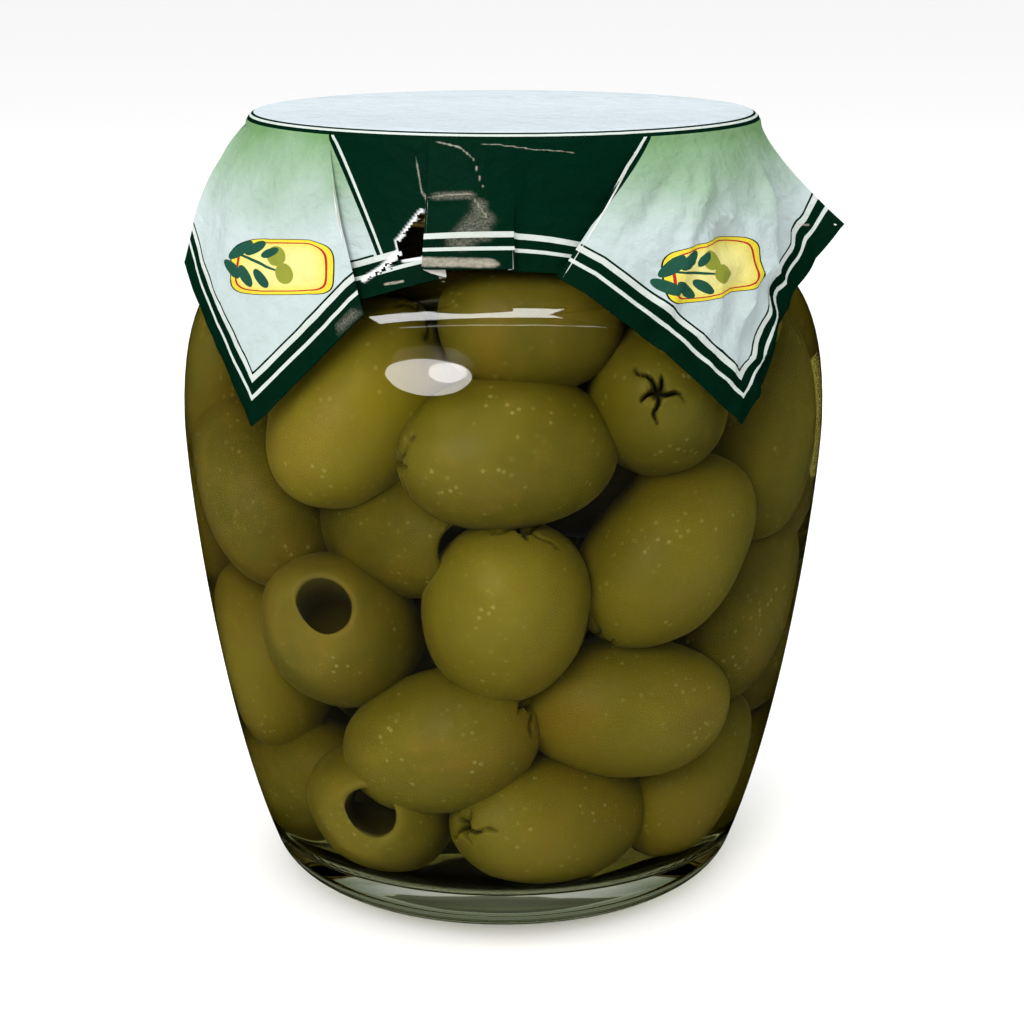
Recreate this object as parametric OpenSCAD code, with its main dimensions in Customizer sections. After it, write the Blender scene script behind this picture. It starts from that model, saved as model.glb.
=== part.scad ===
// Squat glass jar of olives in brine: a bulging jar on a thick foot, a twist-off
// lid, and a square sheet of printed paper draped over the lid.
// The origin is the centre of the ring that the jar stands on. The front is -Y.

/* [Jar] */
// Height of the glass from the foot ring to the rim
jar_h = 118.3; // [112:0.1:145]
// Radius of the glass at its widest
widest_r = 49.3; // [46:0.1:60]
// Height at which the glass is widest
widest_z = 73; // [62:0.5:80]
// Outer radius of the ring that the jar stands on
foot_r = 29.4; // [24:0.1:35]
// Radius of the rounding between the foot ring and the side
heel_r = 8; // [5:0.1:10]
// Lean of the side just above the heel, in degrees from upright
heel_lean = 21; // [12:0.5:28]
// Width of the flat land of the foot ring
foot_land = 2.5; // [1.5:0.1:4]
// Depth of the hollow under the base
push_up = 2.5; // [1:0.1:3.5]
// Outer radius of the neck
neck_r = 36.5; // [30:0.1:40]
// Height at which the shoulder runs into the neck
neck_z = 103; // [98:0.5:106]
// Thickness of the glass in the side
wall_t = 2.8; // [2:0.1:4]
// Thickness of the glass in the neck
neck_t = 2.2; // [1.8:0.1:3]
// Height of the inside floor above the foot ring
floor_z = 6.5; // [5:0.1:9]

/* [Brine] */
// Height of the brine's surface, inside the neck
fill_z = 110; // [105:0.5:115]
// Room between the brine and the glass beside it
brine_room = 0.2; // [0.1:0.05:0.4]

/* [Lid] */
// Thickness of the lid's tinplate
tin_t = 0.4; // [0.3:0.05:0.6]
// Room between the neck and the lid's skirt, for the lugs
lug_room = 1.4; // [1.3:0.1:2]
// Depth of the lid
lid_h = 12.8; // [10:0.1:15]
// Rounding of the lid's top edge
lid_edge_r = 1.6; // [1:0.1:2.5]
// Radius of the curl along the bottom of the skirt
curl_r = 0.75; // [0.5:0.05:0.8]

/* [Paper cover] */
// Side of the square sheet, laid flat
sheet_side = 114.8; // [100:0.2:140]
// Thickness of the sheet with its slack
paper_t = 0.5; // [0.4:0.05:0.8]
// Room between the lid's skirt and the sheet
paper_room = 0.2; // [0.1:0.05:0.5]
// Room between the sheet and the glass
glass_room = 0.4; // [0.3:0.05:0.8]
// Outward spread of a corner flap at its tip
flap_spread = 11.5; // [9:0.1:14]
// Outward spread of the narrow panels between the flaps
panel_spread = 2.5; // [1:0.1:4]
// Share of the hanging paper's length that goes into its drop
drop_share = 0.95; // [0.88:0.01:0.98]
// Width of the slope from a panel up to a fold, in degrees
fold_ramp = 7; // [5:0.5:10]

/* [Hidden] */

// Steps around what turns about the upright axis
round_fn = 180;
// Steps along each curve of the jar's outline, and along small roundings
curve_steps = 20;
edge_steps = 4;

// Curve handles of the jar's side: above the heel, below and above the widest ring, below the neck
heel_pull = 24;
belly_pull = 8;
shoulder_pull = 27.7;
neck_pull = 9.2;

// Width of the rounding inside the foot ring
hollow_round = 8;
// The cavity follows the outside at its own radii
floor_inset = 0.4;
floor_heel_r = 7;
lip_r = 0.7;
brine_lip = 0.4;

// The lid stands on the rim, and the paper lies on the lid
lid_r = neck_r + lug_room + tin_t;
lid_top = jar_h + tin_t;
lid_bottom = lid_top - lid_h;

// The paper's flat disc, the ellipse over the lid's edge and the start of its fall
disc_r = lid_r - lid_edge_r;
fall_z = lid_top - lid_edge_r;
cover_r = lid_r + paper_room + paper_t;
edge_length = 90 * PI / 180 * (lid_edge_r + (paper_room + paper_t) / 2);

// Steps of the paper around it and down its fall
cover_fn = 96;
cover_fall_steps = 14;
// How early a flap's spread is reached, and how late a panel's
flap_power = 1.9;
panel_power = 1.5;
// Half width of a fold's ridge, in degrees
ridge_width = 6;
// The two folds of each corner flap, in degrees from the front, and how far each
// fold's ridge stands out at the hem
flaps = [
    [[-67, 2.5], [-25, 0.4]],
    [[17, 0.6], [78, 6.2]],
    [[112, 2], [155, 1]],
    [[203, 1], [250, 2.5]]
];
// The tear: its direction from the front, height, and corners about its middle
tear_turn = -16;
tear_z = 107;
tear_corners = [[-2.8, -1.8], [2.2, -2.2], [1.4, 3.6], [-1.8, 1.2]];

// A cubic curve through four control points, as a list of points
function curve(a, b, c, d, steps = curve_steps) = [
    for (i = [1 : steps]) let (t = i / steps, u = 1 - t)
        u * u * u * a + 3 * u * u * t * b + 3 * u * t * t * c + t * t * t * d
];

// An arc about c, from angle a to angle b, each from straight up towards +X
function arc(c, rx, rz, a, b, steps = edge_steps) = [
    for (i = [0 : steps]) let (t = a + (b - a) * i / steps) c + [rx * sin(t), rz * cos(t)]
];

// The side of the jar or of its cavity, from its foot up to the neck
function side(foot, foot_z, heel, widest, neck) = let (
    heel_end = [foot + heel * cos(heel_lean), foot_z + heel - heel * sin(heel_lean)],
    widest_p = [widest, widest_z],
    neck_p = [neck, neck_z]
) concat(
    arc([foot, foot_z + heel], heel, heel, 180, 90 + heel_lean, 2 * edge_steps),
    curve(heel_end, heel_end + heel_pull * [sin(heel_lean), cos(heel_lean)],
        widest_p - [0, belly_pull], widest_p),
    curve(widest_p, widest_p + [0, shoulder_pull], neck_p - [0, neck_pull], neck_p)
);

// The cavity's side, moved inwards by a gap
function cavity(gap) = side(foot_r - floor_inset - gap, floor_z, floor_heel_r,
    widest_r - wall_t - gap, neck_r - neck_t - gap);

function reversed(list) = [for (i = [len(list) - 1 : -1 : 0]) list[i]];

// The hollow under the base: flat, then rounded down to the foot ring
hollow_flat_r = foot_r - foot_land - hollow_round;
hollow = concat([[0, push_up]], arc([hollow_flat_r, 0], hollow_round, push_up, 0, 90));

module jar() {
    outer = side(foot_r, 0, heel_r, widest_r, neck_r);
    inner = cavity(0);
    inner_neck_r = neck_r - neck_t;
    lip = concat(
        arc([neck_r - lip_r, jar_h - lip_r], lip_r, lip_r, 90, 0),
        arc([inner_neck_r + lip_r, jar_h - lip_r], lip_r, lip_r, 0, -90)
    );
    color([0.86, 0.9, 0.86, 0.4])
        rotate_extrude($fn = round_fn)
            polygon(concat(hollow, outer, lip, reversed(inner), [[0, floor_z]]));
}

module brine() {
    wet_neck_r = neck_r - neck_t - brine_room;
    color([0.5, 0.47, 0.15])
        rotate_extrude($fn = round_fn)
            polygon(concat([[0, floor_z]], cavity(brine_room),
                arc([wet_neck_r - brine_lip, fill_z - brine_lip], brine_lip, brine_lip, 90, 0),
                [[0, fill_z]]));
}

module lid() {
    curl_z = lid_bottom + curl_r;
    curl_end = 360 + asin((curl_r - tin_t) / curl_r);
    outer_edge = arc([disc_r, fall_z], lid_edge_r, lid_edge_r, 0, 90);
    curl = arc([lid_r - curl_r, curl_z], curl_r, curl_r, 90, curl_end, 4 * edge_steps);
    inner_edge = arc([disc_r, fall_z], lid_edge_r - tin_t, lid_edge_r - tin_t, 90, 0);
    color([0.78, 0.6, 0.25])
        rotate_extrude($fn = round_fn)
            polygon(concat([[0, lid_top]], outer_edge, curl, inner_edge, [[0, jar_h]]));
}

// Radius of the outside of the glass at a height
glass_side = [for (p = side(foot_r, 0, heel_r, widest_r, neck_r)) [p[1], p[0]]];
function glass_r(z) = lookup(z, glass_side);
// Level room that leaves a distance clear of the glass where the glass leans
function level_room(z, room) = let (lean = glass_r(z + 0.5) - glass_r(z - 0.5))
    room * sqrt(1 + lean * lean);

// Smooth step from 0 to 1
function ease(x) = let (t = min(1, max(0, x))) t * t * (3 - 2 * t);

// Difference of two directions, from -180 to 180 degrees
function turn(a, b) = let (t = (a - b) % 360) t > 180 ? t - 360 : (t < -180 ? t + 360 : t);

// How far the square sheet reaches from its centre in a direction
function reach(a) = sheet_side / 2 / max(abs(sin(a)), abs(cos(a)));
tip_drop = (reach(45) - disc_r - edge_length) * drop_share;
panel_drop = (reach(0) - disc_r - edge_length) * drop_share;

// 1 on a corner flap, 0 on the panels between the flaps
function on_flap(a) = max([for (f = flaps) let (
    middle = (f[0][0] + f[1][0]) / 2,
    half = (f[1][0] - f[0][0]) / 2
) ease(1 + (half - abs(turn(a, middle))) / fold_ramp)]);

// How far the folds' ridges stand out at the hem
function ridge(a) = max([for (f = flaps) for (e = f)
    e[1] * exp(-pow(turn(a, e[0]) / ridge_width, 2))]);

// Radius of the paper's outside in a direction, at a depth below the start of its fall
function fall_r(a, depth) = let (
    panel = panel_spread * pow(depth / panel_drop, panel_power),
    flap = flap_spread * (1 - pow(1 - min(1, depth / tip_drop), flap_power)),
    w = on_flap(a),
    drape = cover_r + panel * (1 - w) + flap * w + ridge(a) * depth / panel_drop,
    z = fall_z - depth
) max(drape, glass_r(z) + level_room(z, glass_room + paper_t));

// The sheet's section in a direction: over the lid's edge, then down the fall.
// Out is 1 for the sheet's outside and 0 for its inside.
function section(a, out) = let (
    drop = (reach(a) - disc_r - edge_length) * drop_share,
    add = out * paper_t
) concat(
    arc([disc_r, fall_z], lid_edge_r + paper_room + add, lid_edge_r + add, 0, 90),
    [for (i = [1 : cover_fall_steps]) let (depth = drop * i / cover_fall_steps)
        [fall_r(a, depth) - (1 - out) * paper_t, fall_z - depth]]
);

// The tear beside the front panel, seen from the front, as corners about its middle
module tear() {
    translate([cover_r * sin(tear_turn), 0, tear_z])
        rotate([90, 0, 0])
            linear_extrude(height = cover_r + 10)
                polygon(tear_corners);
}

// Direction a is counted from the front, which is -Y
function placed(p, a) = [p[0] * sin(a), -p[0] * cos(a), p[1]];

module sheet() {
    rows = edge_steps + 1 + cover_fall_steps;
    columns = [for (j = [0 : cover_fn - 1]) 360 * j / cover_fn];
    outside = [for (a = columns) for (p = section(a, 1)) placed(p, a)];
    inside = [for (a = columns) for (p = section(a, 0)) placed(p, a)];
    top_centre = 2 * cover_fn * rows;
    under_centre = top_centre + 1;
    function out_at(j, i) = (j % cover_fn) * rows + i;
    function in_at(j, i) = cover_fn * rows + out_at(j, i);
    faces = concat(
        [for (j = [0 : cover_fn - 1]) [top_centre, out_at(j + 1, 0), out_at(j, 0)]],
        [for (j = [0 : cover_fn - 1]) [under_centre, in_at(j, 0), in_at(j + 1, 0)]],
        [for (j = [0 : cover_fn - 1]) for (i = [0 : rows - 2]) each [
            [out_at(j, i), out_at(j + 1, i), out_at(j + 1, i + 1)],
            [out_at(j, i), out_at(j + 1, i + 1), out_at(j, i + 1)],
            [in_at(j, i), in_at(j + 1, i + 1), in_at(j + 1, i)],
            [in_at(j, i), in_at(j, i + 1), in_at(j + 1, i + 1)]
        ]],
        [for (j = [0 : cover_fn - 1]) each [
            [out_at(j, rows - 1), out_at(j + 1, rows - 1), in_at(j + 1, rows - 1)],
            [out_at(j, rows - 1), in_at(j + 1, rows - 1), in_at(j, rows - 1)]
        ]]
    );
    polyhedron(concat(outside, inside, [[0, 0, lid_top + paper_t], [0, 0, lid_top]]), faces);
}

module cover() {
    color([0.78, 0.86, 0.8])
        difference() {
            sheet();
            tear();
        }
}

jar();
brine();
lid();
cover();
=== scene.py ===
"""A squat glass jar of pitted green olives in brine, under a twist-off lid and a draped square of paper."""
import math
import random
from functools import partial

import bmesh
import bpy
import numpy as np
from mathutils import Matrix, Vector, noise


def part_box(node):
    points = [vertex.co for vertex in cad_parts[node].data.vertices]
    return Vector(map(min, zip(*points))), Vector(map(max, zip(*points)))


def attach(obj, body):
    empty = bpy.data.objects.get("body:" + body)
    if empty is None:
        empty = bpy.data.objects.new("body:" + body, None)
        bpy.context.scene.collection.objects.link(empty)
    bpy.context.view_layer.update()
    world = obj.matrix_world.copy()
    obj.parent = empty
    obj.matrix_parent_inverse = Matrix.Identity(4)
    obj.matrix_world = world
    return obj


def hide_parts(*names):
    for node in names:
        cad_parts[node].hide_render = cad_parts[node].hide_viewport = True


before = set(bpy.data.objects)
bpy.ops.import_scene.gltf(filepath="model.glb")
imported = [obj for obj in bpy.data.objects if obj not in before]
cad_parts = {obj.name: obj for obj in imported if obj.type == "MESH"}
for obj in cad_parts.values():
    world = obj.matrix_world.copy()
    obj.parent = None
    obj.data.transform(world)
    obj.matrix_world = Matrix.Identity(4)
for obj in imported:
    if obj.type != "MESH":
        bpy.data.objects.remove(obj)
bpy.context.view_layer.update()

MM = 0.001
UP = Vector((0, 0, 1))

# ---------------------------------------------------------------- sizes taken from the frame

WIDEST_R, _, JAR_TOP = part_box("jar")[1]
LID_R, _, LID_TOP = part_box("lid")[1]
LID_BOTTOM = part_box("lid")[0][2]
COVER_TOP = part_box("cover")[1][2]
FLOOR_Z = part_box("brine")[0][2]
FILL_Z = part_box("brine")[1][2]

# The jar's outline, in metres: the same curves as the CAD solid's
WALL = 2.8 * MM
NECK_R = 36.5 * MM
NECK_WALL = 2.2 * MM
NECK_Z = 103 * MM
WIDEST_Z = 73 * MM
FOOT_R = 29.4 * MM
FOOT_LAND = 2.5 * MM
FOOT_HOLLOW = 2.5 * MM
HOLLOW_ROUND = 8 * MM
HEEL_R = 8 * MM
HEEL_LEAN = math.radians(21)
FLOOR_INSET = 0.4 * MM
FLOOR_HEEL_R = 7 * MM
LIP_R = 0.7 * MM
HEEL_PULL, BELLY_PULL, SHOULDER_PULL, NECK_PULL = 24 * MM, 8 * MM, 27.7 * MM, 9.2 * MM
# How far the brine reaches into the glass, so that no air shows between them
BRINE_REACH = 0.12 * MM


# ---------------------------------------------------------------- outlines

def curve(a, b, c, d, steps=24):
    """A cubic curve through four control points, without its first point."""
    a, b, c, d = (np.array(p, float) for p in (a, b, c, d))
    t = np.linspace(0, 1, steps + 1)[1:, None]
    u = 1 - t
    return u**3 * a + 3 * u * u * t * b + 3 * u * t * t * c + t**3 * d


def arc(centre, rx, rz, start, end, steps=6):
    """An arc from one angle to another, each counted from straight up towards the outside."""
    t = np.radians(np.linspace(start, end, steps + 1))
    return np.c_[centre[0] + rx * np.sin(t), centre[1] + rz * np.cos(t)]


def jar_side(foot, foot_z, heel, widest, neck):
    """The side of the jar or of its cavity, from its foot up to the neck."""
    lean = np.array((math.sin(HEEL_LEAN), math.cos(HEEL_LEAN)))
    heel_end = np.array((foot + heel * lean[1], foot_z + heel - heel * lean[0]))
    waist = np.array((widest, WIDEST_Z))
    top = np.array((neck, NECK_Z))
    return np.vstack((
        arc((foot, foot_z + heel), heel, heel, 180, 90 + math.degrees(HEEL_LEAN), 12),
        curve(heel_end, heel_end + HEEL_PULL * lean, waist - (0, BELLY_PULL), waist),
        curve(waist, waist + (0, SHOULDER_PULL), top - (0, NECK_PULL), top),
    ))


def cavity_side(gap):
    """The cavity's side, moved inwards by a gap."""
    return jar_side(FOOT_R - FLOOR_INSET - gap, FLOOR_Z, FLOOR_HEEL_R,
                    WIDEST_R - WALL - gap, NECK_R - NECK_WALL - gap)


OUTSIDE = jar_side(FOOT_R, 0, HEEL_R, WIDEST_R, NECK_R)
INSIDE = cavity_side(0)


def glass_r(z):
    """Radius of the outside of the glass at a height."""
    return np.interp(z, OUTSIDE[:, 1], OUTSIDE[:, 0])


def cavity_r(z):
    """Radius of the cavity at a height."""
    return np.interp(z, INSIDE[:, 1], INSIDE[:, 0])


# ---------------------------------------------------------------- mesh helpers

# Points of a spun outline closer than this become one
MERGE_GAP = 0.005 * MM


def added(name, data):
    """Puts a mesh, a camera or a lamp into the scene."""
    made = bpy.data.objects.new(name, data)
    bpy.context.scene.collection.objects.link(made)
    return made


def select_only(*pieces):
    """Selects the pieces and nothing else, with the first one active."""
    bpy.ops.object.select_all(action="DESELECT")
    for piece in pieces:
        piece.select_set(True)
    bpy.context.view_layer.objects.active = pieces[0]


def spun(name, outline, steps):
    """Turns an outline of (radius, height) points about the upright axis into a closed piece."""
    mesh = bpy.data.meshes.new(name)
    points = [(float(r), 0.0, float(z)) for r, z in outline]
    mesh.from_pydata(points, [(i, i + 1) for i in range(len(points) - 1)], [])
    piece = added(name, mesh)
    select_only(piece)
    bpy.ops.object.mode_set(mode="EDIT")
    bpy.ops.mesh.select_all(action="SELECT")
    bpy.ops.mesh.spin(steps=steps, angle=2 * math.pi, center=(0, 0, 0), axis=(0, 0, 1))
    bpy.ops.mesh.select_all(action="SELECT")
    bpy.ops.mesh.remove_doubles(threshold=MERGE_GAP)
    bpy.ops.mesh.normals_make_consistent(inside=False)
    bpy.ops.object.mode_set(mode="OBJECT")
    bpy.ops.object.shade_smooth()
    return piece


def points_of(mesh):
    """The mesh's vertex places as an array."""
    xyz = np.empty(len(mesh.vertices) * 3)
    mesh.vertices.foreach_get("co", xyz)
    return xyz.reshape(-1, 3)


def set_points(mesh, xyz):
    """Moves the mesh's vertices to new places."""
    mesh.vertices.foreach_set("co", np.asarray(xyz, float).ravel())
    mesh.update()


def set_attribute(mesh, name, values):
    """Stores one number for each vertex."""
    layer = mesh.attributes.new(name, "FLOAT", "POINT")
    layer.data.foreach_set("value", np.asarray(values, float))


def hand_over(piece, cad_node, slot, *materials):
    """Gives a finished piece its materials and body, and hides its CAD node's part; slot is not used."""
    piece.data.materials.clear()
    for material in materials:
        piece.data.materials.append(material)
    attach(piece, "root")
    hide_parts(cad_node)


# ---------------------------------------------------------------- material helpers

def new_material(name, inputs):
    """A node material, the tree to add to, and its Principled shader with some inputs set."""
    material = bpy.data.materials.new(name)
    material.use_nodes = True
    tree = material.node_tree
    shader = tree.nodes["Principled BSDF"]
    for key, value in inputs.items():
        shader.inputs[key].default_value = value
    return material, tree, shader


def node(tree, kind, inputs=None, **settings):
    """Adds a shader node, sets its settings, and sets or links its inputs."""
    made = tree.nodes.new(kind)
    for key, value in settings.items():
        setattr(made, key, value)
    for key, value in (inputs or {}).items():
        if isinstance(value, bpy.types.NodeSocket):
            tree.links.new(value, made.inputs[key])
        else:
            made.inputs[key].default_value = value
    return made


def object_coords(tree):
    """Places in the piece's own frame, in metres."""
    return node(tree, "ShaderNodeTexCoord").outputs["Object"]


def painted(tree, name):
    """A number stored for each vertex."""
    return node(tree, "ShaderNodeAttribute", attribute_name=name).outputs["Fac"]


def noise_of(tree, coords, scale, detail=3.0, rough=0.5, distortion=0.0):
    """Cloudy noise from 0 to 1."""
    return node(tree, "ShaderNodeTexNoise", {
        "Vector": coords, "Scale": scale, "Detail": detail, "Roughness": rough,
        "Distortion": distortion}).outputs["Fac"]


def maths_of(tree, operation, *values):
    """Arithmetic on numbers and sockets."""
    return node(tree, "ShaderNodeMath", dict(enumerate(values)), operation=operation).outputs[0]


def step_of(tree, value, low, high):
    """A smooth step from 0 at low to 1 at high."""
    return node(tree, "ShaderNodeMapRange", {
        "Value": value, "From Min": low, "From Max": high}, interpolation_type="SMOOTHSTEP").outputs["Result"]


def ramp_of(tree, fac, stops):
    """A colour ramp with stops of (place, colour)."""
    made = node(tree, "ShaderNodeValToRGB", {"Fac": fac})
    elements = made.color_ramp.elements
    while len(elements) < len(stops):
        elements.new(0.5)
    for element, (place, colour) in zip(elements, stops):
        element.position = place
        element.color = (*colour, 1)
    return made.outputs["Color"]


def blend_of(tree, fac, a, b, mode="MIX"):
    """Mixes two colours."""
    a, b = ((*colour, 1) if isinstance(colour, tuple) else colour for colour in (a, b))
    mix = node(tree, "ShaderNodeMix", {0: fac, 6: a, 7: b}, data_type="RGBA", blend_type=mode)
    return mix.outputs[2]


def bumped(tree, shader, height, strength, distance):
    """Roughens the shader's surface by a height."""
    bump = node(tree, "ShaderNodeBump", {
        "Height": height, "Strength": strength, "Distance": distance})
    tree.links.new(bump.outputs["Normal"], shader.inputs["Normal"])


def lets_lamps_through(tree, shader, tint):
    """Lamps reach what is behind the shader straight through it."""
    clear = node(tree, "ShaderNodeBsdfTransparent", {"Color": (*tint, 1)})
    path = node(tree, "ShaderNodeLightPath")
    mix = node(tree, "ShaderNodeMixShader", {"Fac": path.outputs["Is Shadow Ray"]})
    tree.links.new(shader.outputs["BSDF"], mix.inputs[1])
    tree.links.new(clear.outputs["BSDF"], mix.inputs[2])
    tree.links.new(mix.outputs["Shader"], tree.nodes["Material Output"].inputs["Surface"])


# ---------------------------------------------------------------- materials

GLASS_IOR = 1.5
BRINE_IOR = 1.34
# Where brine wets the glass, light crosses one boundary between the two: it bends at the
# glass's inner side, and the brine's own side lies inside the glass and bends nothing
WET_GLASS_IOR = GLASS_IOR / BRINE_IOR
SUNK_SIDE_IOR = 1.0
# The glass lets less through where it is deep, in its foot, and there it is darkened much further by painted
# shade; between two heights
GLASS_TINT = (0.92, 0.945, 0.88)
FOOT_TINT_AND_SHADE = (0.20, 0.235, 0.145)
FOOT_TINT_AND_SHADE_Z = (5.5 * MM, 9 * MM)
# The mould's ripple: scale, detail and roughness of its noise; strength and height of its bump
MOULD_RIPPLE = (55.0, 2.0, 0.4)
MOULD_BUMP = (0.12, 1.2 * MM)
# What the glass and the brine let through of a lamp's light
GLASS_SHADOW = (0.96, 0.97, 0.96)
BRINE_SHADOW = (0.93, 0.92, 0.84)
# The brine darkens with depth: the colour of what it lets through
BRINE_TINT = (0.72, 0.68, 0.30, 1)
BRINE_DENSITY = 70.0


def jar_glass_material(name, ior):
    """Clear soda glass with a faint ripple from its mould, greener in its thick foot and darkened there by
    painted shade.
    """
    material, tree, shader = new_material(name, {
        "Roughness": 0.0, "Transmission Weight": 1.0, "IOR": ior})
    height = node(tree, "ShaderNodeSeparateXYZ", {"Vector": object_coords(tree)}).outputs["Z"]
    raised = node(tree, "ShaderNodeMapRange", {
        "Value": height, "From Min": FOOT_TINT_AND_SHADE_Z[0], "From Max": FOOT_TINT_AND_SHADE_Z[1]}).outputs["Result"]
    # Painted shade: the foot's tint is far darker than its glass alone, standing in for the shade under and
    # round the foot
    tint = ramp_of(tree, raised, [(0.0, FOOT_TINT_AND_SHADE), (1.0, GLASS_TINT)])
    tree.links.new(tint, shader.inputs["Base Color"])
    bumped(tree, shader, noise_of(tree, object_coords(tree), *MOULD_RIPPLE), *MOULD_BUMP)
    lets_lamps_through(tree, shader, GLASS_SHADOW)
    return material


def brine_material(name, ior):
    """Yellowish brine, darker the deeper the light goes."""
    material, tree, shader = new_material(name, {
        "Base Color": (0.97, 0.95, 0.86, 1), "Roughness": 0.0, "Transmission Weight": 1.0, "IOR": ior})
    lets_lamps_through(tree, shader, BRINE_SHADOW)
    depth = node(tree, "ShaderNodeVolumeAbsorption", {
        "Color": BRINE_TINT, "Density": BRINE_DENSITY})
    tree.links.new(depth.outputs["Volume"], tree.nodes["Material Output"].inputs["Volume"])
    return material


BLACK = (0, 0, 0)
WHITE = (1, 1, 1)
OLIVE_DARK = (0.072, 0.060, 0.006)
OLIVE_MID = (0.128, 0.106, 0.010)
OLIVE_LIGHT = (0.190, 0.152, 0.013)
OLIVE_TAN = (0.175, 0.112, 0.014)
# Flesh inside the hole: its own colour with painted shade, darker than the skin
OLIVE_FLESH_SHADED = (0.085, 0.070, 0.016)
# Painted shade in the star cut's slits
OLIVE_CUT_SHADE = (0.006, 0.005, 0.002)
OLIVE_SPECK = (0.30, 0.27, 0.09)


def olive_material():
    """Olive skin: mottled green-brown with pale pores; cut flesh inside, darkened by painted shade in the
    hole; star slits painted near-black as shade.
    """
    material, tree, shader = new_material("olive_skin", {
        "Roughness": 0.42, "IOR": 1.36, "Specular IOR Level": 0.15})
    maths = partial(maths_of, tree)
    coords = object_coords(tree)
    mottle = noise_of(tree, coords, 75.0, 4.0, 0.6, 0.4)
    cloud = noise_of(tree, coords, 22.0, 2.0)
    spread = maths("MULTIPLY_ADD", cloud, 0.38, maths("MULTIPLY", mottle, 0.42))
    spread = maths("MULTIPLY_ADD", painted(tree, "tone"), 0.5, spread)
    skin = ramp_of(tree, spread, [(0.38, OLIVE_DARK), (0.62, OLIVE_MID), (0.92, OLIVE_LIGHT)])
    blush = noise_of(tree, coords, 48.0, 4.0, 0.65, 0.6)
    skin = blend_of(tree, ramp_of(tree, blush, [(0.48, BLACK), (0.72, (0.7, 0.7, 0.7))]), skin, OLIVE_TAN)
    pores = node(tree, "ShaderNodeTexVoronoi", {
        "Vector": coords, "Scale": 620.0, "Randomness": 1.0}, feature="F1").outputs["Distance"]
    dots = ramp_of(tree, pores, [(0.0, WHITE), (0.13, WHITE), (0.26, BLACK)])
    patchy = ramp_of(tree, noise_of(tree, coords, 160.0, 2.0), [(0.45, BLACK), (0.65, WHITE)])
    dots = blend_of(tree, 1.0, dots, patchy, "MULTIPLY")
    skin = blend_of(tree, maths("MULTIPLY", dots, 0.5), skin, OLIVE_SPECK)
    # Painted shade: the hole's flesh is darker than the skin, as the hole's shade
    skin = blend_of(tree, painted(tree, "flesh"), skin, OLIVE_FLESH_SHADED)
    # Painted shade: the star's slits and middle are painted near-black
    skin = blend_of(tree, painted(tree, "cut"), skin, OLIVE_CUT_SHADE)
    tree.links.new(skin, shader.inputs["Base Color"])
    fine = noise_of(tree, coords, 300.0, 3.0, 0.6)
    bumped(tree, shader, fine, 0.12, 0.0002)
    return material


# ---------------------------------------------------------------- glass and brine

SPIN_STEPS = 240
KNURLS = 80
KNURL_DEPTH = 0.25 * MM
# Half width and height of the foot ring's knurled band
KNURL_BAND = (1.6 * MM, 2 * MM)
# Slow waves of the inner wall: depth, and how close they follow each other
WAVE = 0.10 * MM
WAVE_SCALE = 42.0
# Waved are points this near to the cavity's side, from this far above its floor up to the neck
WAVED = (0.05 * MM, 1 * MM)
# Faces within this of the cavity are its wall
WALL_NEAR = 0.3 * MM
# The brine's level climbs to the glass: points as (inwards, down)
MENISCUS = np.array(((0, 0), (0.8, 0.5), (2.5, 0.8))) * MM


def jar_glass():
    """The jar's glass, with a knurled foot ring and a slightly uneven inner wall."""
    neck_in = NECK_R - NECK_WALL
    flat_r = FOOT_R - FOOT_LAND - HOLLOW_ROUND
    outline = np.vstack((
        [(0, FOOT_HOLLOW)],
        arc((flat_r, 0), HOLLOW_ROUND, FOOT_HOLLOW, 0, 90, 8),
        [(FOOT_R - FOOT_LAND / 2, 0)],
        OUTSIDE,
        arc((NECK_R - LIP_R, JAR_TOP - LIP_R), LIP_R, LIP_R, 90, 0, 5),
        arc((neck_in + LIP_R, JAR_TOP - LIP_R), LIP_R, LIP_R, 0, -90, 5),
        INSIDE[::-1],
        [(FOOT_R * 0.5, FLOOR_Z), (0, FLOOR_Z)],
    ))
    piece = spun("jar_glass", outline, SPIN_STEPS)
    xyz = points_of(piece.data)
    radius = np.hypot(xyz[:, 0], xyz[:, 1])
    turn = np.arctan2(xyz[:, 1], xyz[:, 0])
    # Notches between the knurls of the foot ring
    on_ring = np.exp(-((radius - FOOT_R) / KNURL_BAND[0]) ** 2) * (xyz[:, 2] < KNURL_BAND[1])
    xyz[:, 2] += KNURL_DEPTH * on_ring * (0.5 - 0.5 * np.cos(KNURLS * turn))
    # Slow waves of the inner wall, inwards into the brine only
    inner = (radius < cavity_r(xyz[:, 2]) + WAVED[0]) & (xyz[:, 2] > FLOOR_Z + WAVED[1])
    inner &= xyz[:, 2] < NECK_Z
    for i in np.nonzero(inner)[0]:
        wave = noise.noise(Vector(xyz[i]) * WAVE_SCALE)
        xyz[i, :2] *= 1 - WAVE * (0.5 + 0.5 * wave) / radius[i]
    set_points(piece.data, xyz)
    hand_over(piece, "jar", "jar_glass", jar_glass_material("jar_glass_clear", GLASS_IOR),
              jar_glass_material("jar_glass_wet_side", WET_GLASS_IOR))
    for face in piece.data.polygons:
        x, y, z = face.center
        if FLOOR_Z - 0.1 * MM < z < FILL_Z and math.hypot(x, y) < cavity_r(z) + WALL_NEAR:
            face.material_index = 1


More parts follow.
